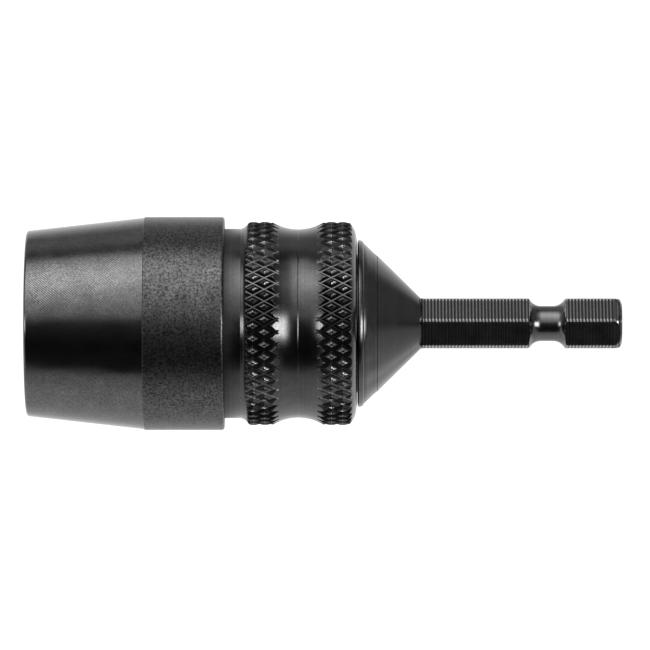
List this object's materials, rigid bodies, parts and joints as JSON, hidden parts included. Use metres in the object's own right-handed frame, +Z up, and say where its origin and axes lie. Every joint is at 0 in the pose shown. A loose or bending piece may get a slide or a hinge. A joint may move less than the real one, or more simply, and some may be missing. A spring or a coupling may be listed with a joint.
{
  "type": "drill chuck",
  "caption": "Keyless three-jaw drill chuck with a tapered grip sleeve, a knurled rear collar and a hexagonal quick-change shank.",
  "frame": {"origin": "on the chuck's axis at the middle of the shank's detent groove", "axes": "+X along the axis from the jaws towards the shank's end, +Z up, square to two flats of the hexagon"},
  "size_m": [0.0788, 0.0282, 0.0282],
  "materials": {
    "sleeve_steel": "black oxide, fine turned",
    "collar_steel": "black oxide, diamond knurled",
    "ring_steel": "black oxide, satin",
    "shank_steel": "black oxide, ground flats",
    "screw_steel": "zinc plated",
    "body_steel": "machined, phosphated",
    "jaw_steel": "hardened and ground",
    "nut_steel": "hardened",
    "race_steel": "hardened and ground",
    "ball_steel": "polished",
    "cage_plastic": "moulded"
  },
  "bodies": {
    "chuck_core": {"chuck_body": "body_steel", "knurled_collar": "collar_steel", "clamp_ring": "ring_steel", "shank_adapter": "shank_steel", "retention_screw": "screw_steel", "rear_race": "race_steel"},
    "sleeve_unit": {"front_sleeve": "sleeve_steel", "nut_band": "nut_steel", "nut_half_a": "nut_steel", "nut_half_b": "nut_steel", "front_race": "race_steel"},
    "ball_ring": {"ball_cage": "cage_plastic", "ball_01": "ball_steel", "ball_02": "ball_steel", "ball_03": "ball_steel", "ball_04": "ball_steel", "ball_05": "ball_steel", "ball_06": "ball_steel", "ball_07": "ball_steel", "ball_08": "ball_steel", "ball_09": "ball_steel", "ball_10": "ball_steel", "ball_11": "ball_steel", "ball_12": "ball_steel"},
    "jaw_1": {"jaw_1": "jaw_steel"},
    "jaw_2": {"jaw_2": "jaw_steel"},
    "jaw_3": {"jaw_3": "jaw_steel"}
  },
  "joints": [
    {"name": "sleeve_turn", "type": "hinge", "parent": "chuck_core", "child": "sleeve_unit", "pos_m": [-0.0558, 0, 0], "axis": [1, 0, 0], "range_deg": [-1350, 900]},
    {"name": "ball_ring_turn", "type": "hinge", "parent": "chuck_core", "child": "ball_ring", "pos_m": [-0.05325, 0, 0], "axis": [1, 0, 0], "range_deg": [-675, 450]},
    {"name": "jaw_1_slide", "type": "slide", "parent": "chuck_core", "child": "jaw_1", "axis": [-0.9613, 0, -0.2756], "range_m": [-0.00595, 0.00397]},
    {"name": "jaw_2_slide", "type": "slide", "parent": "chuck_core", "child": "jaw_2", "axis": [-0.9613, 0.2387, 0.1378], "range_m": [-0.00595, 0.00397]},
    {"name": "jaw_3_slide", "type": "slide", "parent": "chuck_core", "child": "jaw_3", "axis": [-0.9613, -0.2387, 0.1378], "range_m": [-0.00595, 0.00397]}
  ],
  "couplings": [
    {"joint": "ball_ring_turn", "follows": "sleeve_turn", "ratio": 0.5},
    {"joint": "jaw_1_slide", "follows": "sleeve_turn", "m_per_rad": 0.00025266},
    {"joint": "jaw_2_slide", "follows": "sleeve_turn", "m_per_rad": 0.00025266},
    {"joint": "jaw_3_slide", "follows": "sleeve_turn", "m_per_rad": 0.00025266}
  ]
}
